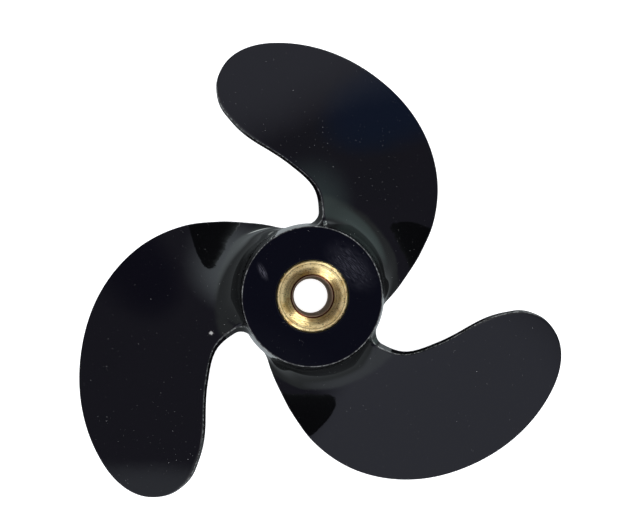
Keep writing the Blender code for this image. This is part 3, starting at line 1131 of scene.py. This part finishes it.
# Of each patch: compass angle from +X and angle from straight up in degrees, inner and
# outer reach in degrees, and how much red, green and blue it adds.
ROOM_PATCHES = {
    "white_ceiling": (0, 0, 23, 33, (0.8, 0.78, 0.76)),
    "dark_above_camera": (0, 0, 8, 12, (-0.91, -0.88, -0.84)),
    "ceiling_lamp": (57, 16, 2, 5, (3.5, 3.5, 3.3)),
    "second_ceiling_lamp": (237, 16, 2, 5, (3.0, 3.0, 2.8)),
    "window_low_behind": (57, 85, 3, 8, (9.0, 9.5, 9.3)),
    "pale_wall_in_front": (240, 50, 30, 48, (0.38, 0.41, 0.48)),
    "lamp_glow_behind_right": (40, 32, 8, 25, (0.34, 0.36, 0.42)),
    "window_corner_left": (172, 38, 2, 8, (0.35, 0.39, 0.42)),
    "blue_gap_right": (2, 44, 3, 13, (-0.07, 0.0, 0.14)),
    "dark_gap_behind_left": (99, 48, 2, 14, (-0.1, -0.1, -0.1)),
    "white_paper_behind": (75, 88, 10, 35, (1.1, 1.25, 1.3)),
    "green_paper_right": (10, 88, 12, 32, (0.33, 0.5, 0.47)),
    "window_glint": (118, 70, 0.4, 1.1, (10.0, 10.0, 10.0)),
}


def room_direction(compass, down):
    """Unit direction at a compass angle from +X and an angle down from the zenith."""
    compass, down = math.radians(compass), math.radians(down)
    return (math.sin(down) * math.cos(compass), math.sin(down) * math.sin(compass), math.cos(down))


def make_room():
    """World whose brightness is a base, a table round the horizon and below it, and
    soft round patches, added one by one.

    A patch is full where the cosine of the angle to it is over that of its inner
    reach, and none where it is under that of its outer reach.
    """
    world = bpy.data.worlds.new("soft_room")
    world.use_nodes = True
    tree = world.node_tree
    tree.nodes.clear()
    place = add_node(tree, "ShaderNodeTexCoord")
    upward = add_node(tree, "ShaderNodeSeparateXYZ", {"Vector": (place, "Generated")})
    table = add_node(tree, "ShaderNodeMapRange", {
        "Value": (upward, "Z"), "From Min": TABLE_EDGE[0], "From Max": TABLE_EDGE[1]},
        interpolation_type="SMOOTHSTEP")
    lit_table = add_node(tree, "ShaderNodeVectorMath", {
        0: TABLE_COLOUR, "Scale": (table, "Result")}, operation="SCALE")
    total = add_node(tree, "ShaderNodeVectorMath", {
        0: ROOM_BASE, 1: (lit_table, "Vector")}, operation="ADD")
    for compass, down, inner, outer, colour in ROOM_PATCHES.values():
        cosine = add_node(tree, "ShaderNodeVectorMath", {
            0: (place, "Generated"), 1: room_direction(compass, down)},
            operation="DOT_PRODUCT")
        share = add_node(tree, "ShaderNodeMapRange", {
            "Value": (cosine, "Value"), "From Min": math.cos(math.radians(outer)),
            "From Max": math.cos(math.radians(inner))}, interpolation_type="SMOOTHSTEP")
        glow = add_node(tree, "ShaderNodeVectorMath", {
            0: colour, "Scale": (share, "Result")}, operation="SCALE")
        total = add_node(tree, "ShaderNodeVectorMath", {
            0: (total, "Vector"), 1: (glow, "Vector")}, operation="ADD")
    background = add_node(tree, "ShaderNodeBackground", {"Color": (total, "Vector")})
    add_node(tree, "ShaderNodeOutputWorld", {"Surface": (background, "Background")})
    bpy.context.scene.world = world
    print("room patches:", len(ROOM_PATCHES))


make_room()

# %% [markdown]
# The white sheet gets its own light from above, which is kept out of the gloss. The
# brass has a highlight at its upper right and one at its lower left. Two low lamps make
# them, and they light the brass alone, so that the enamel doesn't mirror them.

# %% Lights
def add_area(name, place, size, power, glossy=True):
    """Square soft light that faces the middle of the hub."""
    data = bpy.data.lights.new(name, "AREA")
    data.size = size
    data.energy = power
    lamp = bpy.data.objects.new(name, data)
    bpy.context.scene.collection.objects.link(lamp)
    lamp.location = place
    lamp.rotation_euler = (-Vector(place)).to_track_quat("-Z", "Y").to_euler()
    lamp.visible_glossy = glossy


def add_sun(name, direction, spread, power, only=None, glossy=True):
    """Parallel light from a direction, in degrees wide. It may be kept to one piece, as
    flags round a real lamp keep it off everything else."""
    data = bpy.data.lights.new(name, "SUN")
    data.energy = power
    data.angle = math.radians(spread)
    lamp = bpy.data.objects.new(name, data)
    bpy.context.scene.collection.objects.link(lamp)
    lamp.rotation_euler = Vector(direction).to_track_quat("Z", "Y").to_euler()
    lamp.visible_glossy = glossy
    if only:
        lit = bpy.data.collections.new(name + "_lights")
        lit.objects.link(only)
        lamp.light_linking.receiver_collection = lit


add_area("overhead_panel", (0.0, 0.0, 1.2), 1.6, 16.0, glossy=False)
add_sun("downlight", (0.0, 0.0, 1.0), 4, 1.0, glossy=False)
add_sun("seat_lamp_behind", room_direction(57, 76), 20, 2.0, only=sleeve)
add_sun("seat_lamp_in_front", room_direction(237, 74), 20, 2.0, only=sleeve)
bpy.context.scene.view_settings.view_transform = "Standard"
